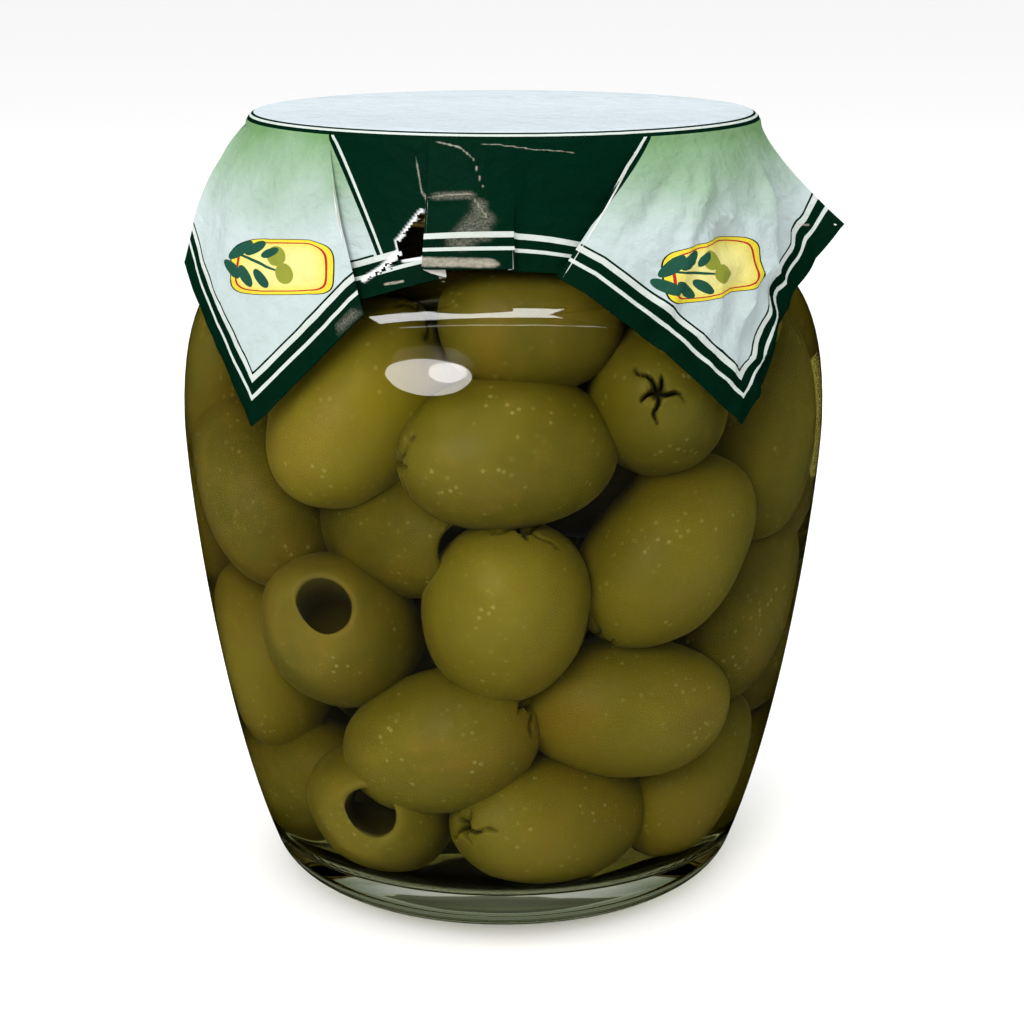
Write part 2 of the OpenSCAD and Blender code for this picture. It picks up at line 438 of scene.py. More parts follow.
def brine():
    """The brine, up to its level in the neck, with a low meniscus."""
    side = cavity_side(-BRINE_REACH)
    side[:, 1] = np.maximum(side[:, 1], FLOOR_Z)
    top_r = NECK_R - NECK_WALL + BRINE_REACH
    level = FILL_Z - MENISCUS[-1, 1]
    outline = np.vstack((
        [(0, FLOOR_Z - BRINE_REACH)],
        [(FOOT_R - FLOOR_INSET - 2 * MM, FLOOR_Z - BRINE_REACH)],
        side + (0, -BRINE_REACH),
        (top_r, FILL_Z) - MENISCUS,
        [(0, level)],
    ))
    piece = spun("brine", outline, SPIN_STEPS)
    hand_over(piece, "brine", "brine", brine_material("brine_in_glass", SUNK_SIDE_IOR),
              brine_material("brine_level", BRINE_IOR))
    for face in piece.data.polygons:
        if face.center.z > level - 0.1 * MM:
            face.material_index = 1


# ---------------------------------------------------------------- olives

OLIVE_LONG = 14.6 * MM
OLIVE_WIDE = 10.9 * MM
HOLE_R = 4.0 * MM
HOLE_EDGE = 0.5 * MM
HOLE_DEPTH = 17 * MM
# The olive's ends are blunter than an ellipse's, and its star end is the thicker one
BLUNT = 0.93
TAPER = 0.04
# Rings crowd towards the star end, where the cuts need them
CROWD = 1.25
# Slits of the star cut: direction in degrees, length and half width in mm
STAR_SLITS = ((10, 5.2, 0.46), (82, 3.2, 0.6), (150, 5.6, 0.42), (215, 2.6, 0.65), (290, 4.8, 0.5))
# How far each slit wanders, in degrees
SLIT_BEND = 11
# In mm: how deep the star is cut, how far its lips rise round it, and how wide they and the middle are
STAR_DEPTH, LIP_RISE, LIP_WIDE, STAR_MIDDLE = 2.4, 0.35, 6, 0.9


def olive_outline(rings, hole):
    """Half outline of an olive: its star end at the bottom, and its hole end or a closed pole on top."""
    lean = np.radians(180 - 180 * np.linspace(0, 1, rings) ** CROWD)
    height = np.cos(lean)
    side = np.c_[OLIVE_WIDE * np.sin(lean) ** BLUNT * (1 - TAPER * height), OLIVE_LONG * height]
    side[0] = (0, -OLIVE_LONG)
    side[-1] = (0, OLIVE_LONG)
    if not hole:
        return side
    side = side[(side[:, 0] > HOLE_R + HOLE_EDGE) | (side[:, 1] < 0)]
    rim, top = side[-1]
    edge = arc((rim, top - HOLE_EDGE * 0.75), rim - HOLE_R, HOLE_EDGE * 0.75, 0, -90, 5)[1:]
    tunnel = [(HOLE_R * k, top - HOLE_DEPTH * d) for k, d in ((0.97, 0.3), (1.0, 0.6), (0.9, 0.9))]
    return np.vstack((side, edge, tunnel, [(HOLE_R * 0.5, top - HOLE_DEPTH), (0, top - HOLE_DEPTH)]))


def olive_form(name, segments, rings, hole, star):
    """One pitted olive about the origin, its long axis upright: a hole on top, a star cut below."""
    piece = spun(name, olive_outline(rings, hole), segments)
    mesh = piece.data
    xyz = points_of(mesh)
    radius = np.hypot(xyz[:, 0], xyz[:, 1])
    inside = (radius < HOLE_R * 1.04) & (xyz[:, 2] > -OLIVE_LONG * 0.6) & hole
    cut = np.zeros(len(xyz))
    if star:
        # Uneven slits that meet at the lower pole, between slightly raised lips
        turn = np.degrees(np.arctan2(xyz[:, 1], xyz[:, 0])) % 360
        for arm, reach, wide in STAR_SLITS:
            bend = SLIT_BEND * np.sin(radius / MM * 1.3 + arm)
            off = np.abs((turn - arm - bend + 180) % 360 - 180)
            aside = np.radians(np.minimum(off, 90)) * radius
            along = np.clip(1 - radius / (reach * MM), 0, 1) * (off < 90)
            half = wide * MM * (0.35 + along)
            slit = np.clip(1.4 * (1 - aside / half), 0, 1) * np.minimum(1, along * 4)
            cut = np.maximum(cut, slit * (xyz[:, 2] < 0))
        middle = np.clip(1.6 - radius / (STAR_MIDDLE * MM), 0, 1) * (xyz[:, 2] < 0)
        cut = np.maximum(cut, middle)
        lips = np.clip(1 - radius / (LIP_WIDE * MM), 0, 1) * (xyz[:, 2] < 0)
        xyz[:, 2] += MM * (STAR_DEPTH * cut - LIP_RISE * lips * (1 - cut))
        set_points(mesh, xyz)
    # The hole's flesh, painted darker as shade in the hole
    set_attribute(mesh, "flesh", inside.astype(float))
    # The cut's depth also marks where the slits are painted near-black as shade
    set_attribute(mesh, "cut", cut)
    return piece


WALL_ROOM = 0.35 * MM
# Dents of an olive's skin: how close they follow each other, and their depth in mm
DENTS = ((70, 0.55), (190, 0.16))


def press_flat(mesh):
    """Presses an olive flat where it leans on the glass, so that nothing reaches into the wall."""
    xyz = points_of(mesh)
    radius = np.hypot(xyz[:, 0], xyz[:, 1])
    xyz[:, 2] = np.clip(xyz[:, 2], FLOOR_Z + WALL_ROOM, FILL_Z - 4 * WALL_ROOM)
    room = cavity_r(xyz[:, 2]) - WALL_ROOM - WAVE
    over = radius > room
    xyz[over, :2] *= (room[over] / radius[over])[:, None]
    set_points(mesh, xyz)


def placed_olive(form, name, centre, axis, spin, size, seed):
    """A copy of a form with its own dents, turned to its long axis and moved into the mesh."""
    mesh = form.data.copy()
    mesh.name = name
    piece = added(name, mesh)
    xyz = points_of(mesh)
    away = Vector((seed * 3.7, seed * 1.3, seed * 2.1))
    for i, point in enumerate(xyz):
        p = Vector(point)
        dent = sum(noise.noise(p * scale + away) * depth for scale, depth in DENTS)
        xyz[i] *= 1 + dent * MM / max(p.length, 2 * MM)
    set_points(mesh, xyz)
    turn = UP.rotation_difference(Vector(axis)).to_matrix().to_4x4()
    stretch = Matrix.Diagonal((size[1], size[1], size[0], 1))
    mesh.transform(Matrix.Translation(centre) @ turn @ Matrix.Rotation(spin, 4, "Z") @ stretch)
    press_flat(mesh)
    set_attribute(mesh, "tone", np.full(len(mesh.vertices), random.Random(seed).uniform(0.1, 0.9)))
    return piece


# The olives that show from the front: direction from the front in degrees, height and
# distance from the jar's axis in mm, long axis as (right, back, up), length and width
# against the usual olive, and which end has its hole or star towards the glass
FRONT_OLIVES = [
    (7, 90.5, 30.8, (1, 0.14, -0.02), (0.85, 0.84), "plain"),
    (-35, 78, 34, (0.65, 0.1, 0.75), (0.96, 0.98), "star"),
    (1, 74.5, 34.4, (-0.96, -0.25, -0.05), (1, 0.95), "star"),
    (37, 79.2, 33.2, (0.05, -0.93, 0.32), (0.90, 0.88), "star"),
    (40, 58.5, 33.4, (-0.55, -0.3, -0.78), (1.04, 1.02), "star"),
    (1, 51.5, 32.6, (0.15, -0.32, 0.92), (0.95, 1.02), "star"),
    (-43, 46.5, 32, (-0.22, -0.86, 0.42), (0.98, 1.05), "hole"),
    (-26, 62.5, 27, (0.5, -0.82, -0.08), (0.98, 0.95), "hole"),
    (-17, 30.5, 29.2, (0.82, -0.3, 0.5), (0.97, 1), "star"),
    (34, 35, 30, (0.97, 0.1, -0.2), (1.04, 1), "plain"),
    (14, 17.5, 25, (-0.78, -0.62, 0.06), (1, 0.97), "star"),
    (-40, 18, 25.2, (-0.2, -0.93, 0.1), (0.95, 0.98), "hole"),
    (-88, 80, 34.4, (0.1, 0.2, 0.97), (0.95, 0.95), "plain"),
    (-66, 64, 34.4, (0.35, -0.6, -0.72), (1, 1), "plain"),
    (-76, 38.5, 30.6, (0.15, 0.2, 0.97), (1.05, 0.95), "plain"),
    (-78, 18.5, 25, (0.3, -0.8, 0.5), (0.95, 0.92), "plain"),
    (72, 72, 34.5, (0.1, 0.25, 0.96), (1.05, 0.92), "plain"),
    (70, 47, 32, (0.25, 0.25, 0.92), (1, 0.95), "plain"),
    (62, 21, 26.5, (0.25, 0.45, 0.85), (0.95, 0.9), "plain"),
    (68, 92, 29, (-0.5, 0.8, 0.2), (0.95, 0.92), "plain"),
    (-62, 90, 29.5, (0.5, 0.8, 0.2), (0.92, 0.92), "plain"),
]
HIDDEN_OLIVES = 25
HIDDEN_SEED = 11
# No hidden olive comes further forward than this
HIDDEN_FRONT = -5 * MM
# They start between these directions (degrees), heights (mm) and shares of the cavity's radius,
# with these lengths and widths against the usual olive
HIDDEN_TURN = (80, 280)
HIDDEN_HEIGHT = (18, 92)
HIDDEN_REACH = (0, 0.75)
HIDDEN_LENGTH = (0.92, 1.02)
HIDDEN_WIDTH = (0.92, 1)
HIDDEN_TOP = 97 * MM
# How often they are pushed apart; and each time, how much of a push and of a turn they follow,
# and how far they turn at most
PUSHES = 260
PUSH_SHARE = 0.4
TURN_SHARE = 0.6
TURN_MOST = 0.3
# The two outer of an olive's three balls: how far out and how thick against the olive
BEAD_OUT = 0.42
BEAD_SMALL = 0.82


def front_places():
    """Centre, long axis, size and end of each olive that shows from the front."""
    places = []
    for turn, height, reach, axis, size, end in FRONT_OLIVES:
        a = math.radians(turn)
        centre = Vector((reach * math.sin(a), -reach * math.cos(a), height)) * MM
        places.append((centre, Vector(axis).normalized(), size, end))
    return places


def beads(centre, axis, size):
    """Three balls that stand for an olive while it finds its place."""
    along = axis * OLIVE_LONG * size[0] * BEAD_OUT
    wide = OLIVE_WIDE * size[1]
    return [(centre - along, wide * BEAD_SMALL), (centre, wide), (centre + along, wide * BEAD_SMALL)]


def hidden_places(front):
    """Olives behind the front ones: random places, pushed apart until they fit the cavity."""
    rng = random.Random(HIDDEN_SEED)
    movers = []
    for _ in range(HIDDEN_OLIVES):
        turn = rng.uniform(*np.radians(HIDDEN_TURN))
        height = rng.uniform(*HIDDEN_HEIGHT) * MM
        reach = cavity_r(height) * rng.uniform(*HIDDEN_REACH)
        centre = Vector((reach * math.sin(turn), -reach * math.cos(turn), height))
        axis = Vector([rng.gauss(0, 1) for _ in range(3)]).normalized()
        size = (rng.uniform(*HIDDEN_LENGTH), rng.uniform(*HIDDEN_WIDTH))
        movers.append([centre, axis, size])
    still = [ball for place in front for ball in beads(*place[:3])]
    for _ in range(PUSHES):
        balls = [beads(*mover) for mover in movers]
        for i, mover in enumerate(movers):
            others = still + [b for j, own in enumerate(balls) if j != i for b in own]
            push, twist = Vector(), Vector()
            for spot, wide in balls[i]:
                arm = spot - mover[0]
                force = Vector()
                for other, reach in others:
                    gap = spot - other
                    near = wide + reach - gap.length
                    if near > 0:
                        force += gap.normalized() * near * 0.5
                radius = math.hypot(spot.x, spot.y)
                room = float(cavity_r(spot.z)) - wide * 1.05 - radius
                if room < 0:
                    force += Vector((spot.x, spot.y, 0)) / max(radius, 1e-6) * room
                force.z += max(0, FLOOR_Z + wide - spot.z) - max(0, spot.z - HIDDEN_TOP + wide * 0.5)
                push += force
                twist += arm.cross(force)
            mover[0] = mover[0] + push * PUSH_SHARE
            mover[0].y = max(mover[0].y, HIDDEN_FRONT)
            if twist.length > 1e-12:
                turn = Matrix.Rotation(min(TURN_MOST, twist.length / OLIVE_LONG**2 * TURN_SHARE), 3, twist)
                mover[1] = (turn @ mover[1]).normalized()
    return [(c, a, s, rng.choice(("hole", "star", "plain"))) for c, a, s in movers]


def joined(pieces, name):
    """Makes one piece of many."""
    select_only(*pieces)
    bpy.ops.object.join()
    piece = bpy.context.object
    piece.name = name
    piece.data.name = name
    return piece


# Each form's steps round it, its rings, and whether it has a hole and a star cut
FINE_FORMS = {"hole": (56, 44, True, False), "star": (72, 50, False, True), "plain": (48, 32, False, False)}
COARSE_FORMS = {"hole": (28, 24, True, False), "star": (28, 24, False, False), "plain": (28, 22, False, False)}


def olives():
    """All olives sunk in the brine: those that show from the front, and the rest behind them."""
    fine, coarse = ({end: olive_form("form_" + end, *steps) for end, steps in forms.items()}
                    for forms in (FINE_FORMS, COARSE_FORMS))
    skin = olive_material()
    front = front_places()
    hidden = hidden_places(front)
    for name, places, forms, first in (
            ("olives_front", front, fine, 1), ("olives_behind", hidden, coarse, 101)):
        made = []
        for i, (centre, axis, size, end) in enumerate(places):
            # Forms have the hole up and the star down, so a star end points along the axis turned over
            towards = -axis if end == "star" else axis
            spin = random.Random(first + i).uniform(0, 2 * math.pi)
            made.append(placed_olive(forms[end], f"{name}_{i}", centre, towards, spin, size, first + i))
        hand_over(joined(made, name), "brine", "brine", skin)
    for form in (*fine.values(), *coarse.values()):
        bpy.data.objects.remove(form)


# ---------------------------------------------------------------- lid

LID_STEPS = 180
# Beads round the skirt: height, rise and half width in mm
LID_BEADS = ((109.4, 0.35, 0.9), (113.2, 0.3, 0.8))
CURL_R = 0.75 * MM
TIN = 0.4 * MM
LID_EDGE_R = 1.6 * MM
# The skirt stands back from the curled edge
SKIRT_BACK = 0.3 * MM
LACQUER_DARK = (0.62, 0.42, 0.15)
LACQUER_LIGHT = (0.90, 0.66, 0.28)


def lid_material():
    """Gold lacquer on tinplate, with fine drawing lines round the skirt."""
    material, tree, shader = new_material("lid_gold_lacquer", {
        "Metallic": 1.0, "Roughness": 0.28, "Coat Weight": 0.6, "Coat Roughness": 0.12})
    coords = object_coords(tree)
    drawn = node(tree, "ShaderNodeMapping", {"Vector": coords, "Scale": (30.0, 30.0, 900.0)})
    lines = noise_of(tree, drawn.outputs["Vector"], 1.0, 2.0)
    stain = noise_of(tree, coords, 90.0, 3.0)
    gold = ramp_of(tree, stain, [(0.35, LACQUER_DARK), (0.65, LACQUER_LIGHT)])
    tree.links.new(gold, shader.inputs["Base Color"])
    bumped(tree, shader, lines, 0.4, 0.0002)
    return material


def lid():
    """The twist-off lid: a flat top, a skirt with two beads, and its curled edge."""
    skirt_r = LID_R - CURL_R * 0.35
    skirt = []
    for z in np.linspace(LID_TOP - LID_EDGE_R, LID_BOTTOM + 2 * CURL_R, 40):
        bead = sum(high * MM * math.exp(-((z / MM - at) / wide) ** 2) for at, high, wide in LID_BEADS)
        skirt.append((skirt_r - SKIRT_BACK + bead, z))
    curl = arc((skirt_r - CURL_R, LID_BOTTOM + CURL_R), CURL_R, CURL_R, 60, 320, 12)
    inner = [(r - TIN, z) for r, z in skirt[::-1] if z > LID_BOTTOM + 2.2 * CURL_R]
    outline = np.vstack((
        [(0, LID_TOP - TIN), (skirt_r - LID_EDGE_R - TIN, LID_TOP - TIN)],
        inner[::-1], curl[::-1], skirt[::-1],
        arc((skirt_r - SKIRT_BACK - LID_EDGE_R, LID_TOP - LID_EDGE_R), LID_EDGE_R, LID_EDGE_R, 90, 0, 6),
        [(0, LID_TOP)],
    ))
    piece = spun("lid_gold", outline, LID_STEPS)
    hand_over(piece, "lid", "lid_lacquer", lid_material())


# ---------------------------------------------------------------- paper cover

# Sizes of the sheet are in mm
SHEET_HALF = 57.4
SHEET_SPAN = 2 * SHEET_HALF
PAPER = 0.24 * MM
SHARP_FOLD = math.radians(38)
DISC_R = 36.7
EDGE_ROUND = 2.1
DISC_SAG = 0.02
FALL_Z = COVER_TOP / MM - EDGE_ROUND
GLASS_GAP = 0.45
# A hem this high is no flap at all, and one lower by the drop is a full one
FLAP_TOP = 101
FLAP_DROP = 14

# How the paper falls, from the front middle round by the right, the back and the left.
# Each row is one line of the paper from the disc's edge to the hem:
#   the line's direction in the flat sheet where it leaves the disc, and its real one (degrees),
#   its end along the sheet's edge (mm from the front middle),
#   and where that end lies: direction (degrees), distance from the axis and height (mm),
#   and how far the line bulges outwards on its way (mm).
FALLS = (
    (3, 1.5, -3.6, 2.2, 42.5, 101.2, 0.3),
    (5, 4, -2.9, 1.2, 41.9, 100.9, 0.1),
    (6, 5, -2.2, 2, 41.5, 100.7, 0),
    (17, 17, 0.8, 6.2, 41.6, 100.6, 0.2),
    (27, 27.2, 2.9, 9.8, 41.7, 100.4, 0),
    (27.5, 27.6, 11.4, 21.2, 42.2, 99, 0.1),
    (29, 28, 21.2, 9.6, 43.3, 100.2, 0.9),
    (31, 31, 24, 14.5, 44.6, 98, 1.6),
    (36, 36.5, 38, 28, 47.6, 89.6, 2.6),
    (43, 43, 52, 38.2, 49.9, 81.6, 3),
    (46, 46, 57.4, 42, 50.2, 78.6, 2.8),
    (49, 49, 63, 47, 50, 82.4, 2.6),
    (60, 61, 76, 59.5, 47.2, 92, 1.4),
    (72, 73, 88, 72, 48.3, 98.6, 0.8),
    (79, 82, 94, 78.4, 51, 102.2, 0.6),
    (80, 83, 96.4, 79.8, 51.7, 102.9, 0.4),
    (80.5, 83.5, 101.8, 73, 43.4, 101.4, 0),
    (81, 84, 107.1, 81.5, 41.8, 101, 0),
    (90, 90, 114.8, 91, 41.6, 101, 0.2),
    (102, 102, 128, 103, 41.8, 100.8, 0.2),
    (107, 107, 132, 112.5, 42.2, 100, 0.1),
    (107.5, 107.5, 137, 105, 43, 99, 0.2),
    (108, 108, 142.5, 112, 45, 98, 1),
    (121, 121, 157, 124, 47.8, 89.5, 2.4),
    (135, 135, 172.2, 135, 50.1, 78.4, 2.8),
    (148, 148, 188, 146, 47.6, 89.5, 2.4),
    (158, 158, 204, 155, 44.2, 98.4, 0.9),
    (158.5, 158.5, 207.6, 160.5, 43, 99, 0.1),
    (159, 159, 211.2, 155.5, 42, 100.2, 0),
    (180, 180, 229.6, 180, 41.6, 101, 0.2),
    (201, 201, 247, 203.5, 42, 100.4, 0.1),
    (201.5, 201.5, 250.6, 198.5, 42.9, 99.2, 0.1),
    (202, 202, 254.2, 203, 44, 98.4, 0.9),
    (213, 213, 271, 214, 47.5, 89.8, 2.4),
    (225, 225, 287, 225, 50.1, 78.2, 2.8),
    (238, 238, 302, 237.5, 47.6, 89.6, 2.4),
    (251, 251, 316, 249.5, 45.2, 98, 1),
    (251.5, 251.5, 322, 258, 43, 99, 0.2),
    (252, 252, 328, 250, 42, 100.4, 0.5),
    (270, 270, 344.4, 270, 42.6, 101, 3.2),
    (282, 279, 357, 286, 44.2, 100.8, 6.4),
    (284, 279.6, 361.8, 288.6, 44.4, 100.2, 5.6),
    (285, 280, 366.8, 290.6, 45, 99.4, 3.6),
    (287, 281, 372.2, 292.2, 50, 98.6, 5.4),
    (290, 284, 375, 295.5, 49.8, 95.6, 4.2),
    (301, 297, 388, 305.5, 49.3, 86.4, 3.2),
    (314, 312, 400, 313.8, 50, 79, 2.9),
    (315, 313.5, 401.8, 314.8, 50.1, 77.8, 2.9),
    (318, 316, 405, 318.5, 49.6, 80.4, 2.9),
    (324, 319, 415, 327, 47.4, 87.6, 2.2),
    (328, 321, 425, 333, 45, 93.4, 1.2),
    (329, 321.6, 427.2, 334.6, 44.4, 94.6, 0.8),
    (329.3, 322, 431, 329, 43.2, 95.6, 0.2),
    (329.6, 322.4, 435.2, 334.2, 42.6, 96.6, 0),
    (336, 333, 441, 341.8, 42.2, 98.4, 0.1),
    (344, 344, 445.8, 349, 41.8, 99.8, 0.1),
    (345, 344.5, 447, 346.2, 42.3, 100.4, 0.2),
    (346, 345, 448.2, 345, 43.1, 101, 0.6),
    (354, 353.5, 452, 352.5, 43.2, 101.2, 0.5),
)

# Rings of the paper's grid over the disc, round its edge and down to the hem; the hem's steps
RINGS_DISC = 9
RINGS_EDGE = 5
RINGS_FALL = 34
HEM_STEP = 0.9

# Unevenness of the hanging paper, dimples and crumples inwards only: how close it follows
# itself (per mm), its layer of noise, and its height in mm
RIPPLES = (0.11, 3.1, 0.30)
DIMPLES = (0.23, 7.7, 0.35)
CRUMPLES = (0.15, 2.3, 2.6)
# The corner at the front right is crumpled: from this place of the sheet outwards, over a width
CRUMPLED_FROM = (27, -29)
CRUMPLE_FADE = 8

# Sharp creases pressed into the paper, in mm on the flat sheet from its middle (x to the right,
# y to the back): start, end, height outwards and width
CREASES = (
    ((-26, -33), (-33, -50), 0.5, 2.2),
    ((-40, -22), (-46, -38), 0.6, 3),
    ((29, -33), (38, -36), 0.5, 1.8),
    ((-22.5, -37.5), (-26, -48), 0.30, 1.6),
    ((30, -26), (32, -43), 1.5, 2.4),
    ((32, -43), (36, -54), 1.1, 2.2),
    ((26, -31), (25, -46), -1, 2.4),
    ((41, -22), (47, -31), 1.9, 2.8),
    ((45, -21), (52, -25), -1.4, 3),
    ((47, -31), (52, -41), 1.3, 2.8),
    ((37, -27), (45, -42), -1, 3),
    ((46, -46), (50, -55), 0.35, 2.6),
    ((-30, -30), (-44, -44), 0.35, 6),
    ((-34, -26), (-50, -36), 0.45, 3),
    ((-13.5, -47), (-3, -46.2), 0.25, 1.2),
    ((2, -38.5), (16, -46), 0.35, 3),
    ((3, -48), (17, -44), -0.25, 2.5),
)
# Where the print is worn off down to the paper along its folds: start, end and width
WORN = (
    ((-2.5, -39.4), (5, -40), 0.12), ((5, -40), (10, -39.5), 0.10),
    ((-8.5, -38.4), (-5.6, -39.6), 0.16), ((-5.6, -39.6), (-3.9, -41.6), 0.18),
    ((-3.9, -41.6), (-3.4, -45.5), 0.15),
    ((-12.6, -46.9), (-9, -46.4), 0.10), ((-8.6, -46.4), (-5, -46.5), 0.18),
    ((-12, -38.8), (-12.8, -44), 0.14), ((-12.8, -44), (-12.6, -48), 0.20),
    ((-12.9, -53), (-13.9, -57.3), 0.26), ((-4.6, -47.4), (-3.8, -50), 0.22),
    ((-11.6, -56.2), (-5.2, -56.5), 0.8),
    ((-21, -56.2), (-18.4, -56.5), 0.24),
    ((47.5, -24), (53.5, -22.4), 0.3), ((26, -57.1), (27.2, -57), 0.2),
    ((-44, -57), (-43.2, -57.1), 0.2), ((19.8, -38), (20.3, -44), 0.18),
)
# Where the print is rubbed thin in patches: start, end and width
RUBBED = (
    ((-7, -53.4), (-4.4, -50), 1.1), ((-4.2, -48), (-4.8, -52.6), 0.7),
    ((-9, -46.5), (-5, -46.7), 0.5), ((-37, -56.2), (-33, -56.4), 0.5),
)
# The outline of the tear in the front panel, and how far its edge strays from it
TEAR = ((-23.2, -54.9), (-17.7, -52.9), (-17.4, -51), (-13.6, -47.6), (-12.8, -49),
        (-12.9, -54), (-17.4, -53.5), (-20, -54.2))
TEAR_JAG = 0.7
TEAR_JAG_SCALE = 1.7
# The part of the sheet that gets a finer mesh for the tear: left, right and back
TEAR_ZONE = (-27, 14, -38)
# White fibres along the tear: start, end and width
FRAY = (
    ((-23.6, -54.8), (-20, -53.7), 0.3), ((-20, -53.7), (-17.7, -52.5), 0.42),
    ((-17.6, -52.6), (-17.4, -50.8), 0.3), ((-17.4, -50.8), (-13.5, -47.3), 0.22),
    ((-12.9, -47.5), (-12.9, -54.2), 0.22), ((-17.4, -53.7), (-13, -54.2), 0.25),
)


def hem_point(p):
    """The place on the flat sheet of a point of its edge, counted from the front middle."""
    side, along = divmod(p + SHEET_HALF, 2 * SHEET_HALF)
    along -= SHEET_HALF
    turn = math.radians(90) * (side % 4)
    x, y = along, -SHEET_HALF
    return (x * math.cos(turn) - y * math.sin(turn), x * math.sin(turn) + y * math.cos(turn))


def along_line(x, y, line):
    """How far along a line sheet points lie, from 0 to 1, and how far away from it."""
    (x0, y0), (x1, y1) = line
    dx, dy = x1 - x0, y1 - y0
    share = np.clip(((x - x0) * dx + (y - y0) * dy) / (dx * dx + dy * dy), 0, 1)
    return share, np.hypot(x - x0 - share * dx, y - y0 - share * dy)


def creased(x, y):
    """How far outwards the creases press sheet points; each fades towards its ends."""
    out = np.zeros_like(x)
    for *line, height, wide in CREASES:
        share, off = along_line(x, y, line)
        out += height * np.clip(1 - off / wide, 0, 1) * np.sin(np.pi * np.clip(share, 0.08, 0.92)) ** 0.5
    return out


def marked(places, lines):
    """How strongly lines mark sheet points: fully near a line, and not at all from 1.5 widths on."""
    out = np.zeros(len(places))
    for *line, wide in lines:
        off = along_line(places[:, 0], places[:, 1], line)[1]
        out = np.maximum(out, np.clip(1.25 * (1.5 - off / wide), 0, 1))
    return out


def unevenness(xy, scale, layer, height):
    """Noise at sheet points, times a height."""
    return height * np.array([noise.noise(Vector((x * scale, y * scale, layer))) for x, y in xy])


def fall_lines():
    """The rows of FALLS with the lines between them: one row for each HEM_STEP of hem."""
    rows = [list(row) for row in FALLS]
    first = list(rows[0])
    for k in (0, 1, 3):
        first[k] += 360
    first[2] += 8 * SHEET_HALF
    rows.append(first)
    lines = []
    for a, b in zip(rows, rows[1:]):
        steps = max(2, round(abs(b[2] - a[2]) / HEM_STEP))
        for k in range(steps):
            share = k / steps
            lines.append([u + (v - u) * share for u, v in zip(a, b)])
    return np.array(lines)


def ring_of(reach, turn, height):
    """Points round the axis at a distance, in directions from the front and at a height."""
    return np.c_[reach * np.sin(turn), -reach * np.cos(turn), height + 0 * turn]


def cover_grid():
    """Sheet places and real places of the paper's grid, ring by ring from the disc's middle."""
    sheet_turn, turn, hem, hem_turn, hem_r, hem_z, bulge = fall_lines().T
    sheet_a, a = np.radians(sheet_turn), np.radians(turn)
    hem_xy = np.array([hem_point(p) for p in hem])
    top = COVER_TOP / MM
    sheet, real = [], []
    for k in range(1, RINGS_DISC + 1):
        share = k / RINGS_DISC
        sheet.append(ring_of(DISC_R * share, sheet_a, 0)[:, :2])
        real.append(ring_of(DISC_R * share, a, top - DISC_SAG * share**3))
    for k in range(1, RINGS_EDGE + 1):
        bow = math.radians(90) * k / RINGS_EDGE
        sheet.append(ring_of(DISC_R + EDGE_ROUND * bow, sheet_a, 0)[:, :2])
        real.append(ring_of(DISC_R + EDGE_ROUND * math.sin(bow), a, top - EDGE_ROUND * (1 - math.cos(bow))))
    edge_xy = sheet[-1]
    flap = np.clip((FLAP_TOP - hem_z) / FLAP_DROP, 0, 1)
    for k in range(1, RINGS_FALL + 1):
        t = k / RINGS_FALL
        xy = edge_xy + (hem_xy - edge_xy) * t
        z = FALL_Z + (hem_z - FALL_Z) * t
        # A flap spreads at once and then hangs; the paper between flaps spreads towards its hem
        spread = (1 - flap) * t**1.35 + flap * (1 - (1 - t) ** 1.25)
        r = DISC_R + EDGE_ROUND + (hem_r - DISC_R - EDGE_ROUND) * spread
        r = r + bulge * math.sin(math.pi * t**0.75) * 0.5
        r = r + creased(xy[:, 0], xy[:, 1]) * min(1, t * 3)
        aside, forwards = (xy - CRUMPLED_FROM).T / CRUMPLE_FADE
        crumpled = np.clip(aside, 0, 1) * np.clip(-forwards, 0, 1)
        uneven = unevenness(xy, *RIPPLES) - abs(unevenness(xy, *DIMPLES)) * flap
        r = r + (uneven - abs(unevenness(xy, *CRUMPLES)) * crumpled) * min(1, t * 4)
        r = np.maximum(r, glass_r(z * MM) / MM + GLASS_GAP)
        sheet.append(xy)
        real.append(ring_of(r, np.radians(turn + (hem_turn - turn) * t), z))
    return np.array(sheet), np.array(real)


def in_outline(x, y, corners):
    """Whether a point lies inside an outline."""
    inside = False
    for (x0, y0), (x1, y1) in zip(corners, corners[1:] + corners[:1]):
        if (y0 > y) != (y1 > y) and x < x0 + (y - y0) / (y1 - y0) * (x1 - x0):
            inside = not inside
    return inside


# Half widths of the dark cross: of its front and back arms, and of its side arms
PANEL_HALF = 20.0
ARM_HALF = 7.0
DISC_PRINT_R = 37.6
# The emblem's yellow field: distance from the disc's middle, step aside, half size and turn
EMBLEM_AT = 57.9
EMBLEM_ASIDE = 2.8
FIELD_SIZE = (9.8, 3.9)
FIELD_TURN = 2.5
CORNER_GREEN = (0.125, 0.24, 0.10)
CORNER_MID = (0.215, 0.32, 0.225)
CORNER_PALE = (0.37, 0.44, 0.44)
PANEL_GREEN = (0.000, 0.0105, 0.0045)
PANEL_DOT = (0.000, 0.021, 0.0115)
STRIPE_WHITE = (0.43, 0.475, 0.45)
DISC_WHITE = (0.44, 0.495, 0.53)
DISC_GREY = (0.34, 0.39, 0.42)
PAPER_BARE = (0.40, 0.37, 0.30)
PAPER_TORN = (0.64, 0.66, 0.67)
GRIME = (0.62, 0.66, 0.58)
FIELD_YELLOW = (0.56, 0.46, 0.03)
FIELD_LIGHT = (0.58, 0.53, 0.20)
FIELD_RED = (0.32, 0.015, 0.02)
LEAF_GREEN = (0.012, 0.060, 0.038)
OLIVE_PRINT = (0.20, 0.22, 0.03)
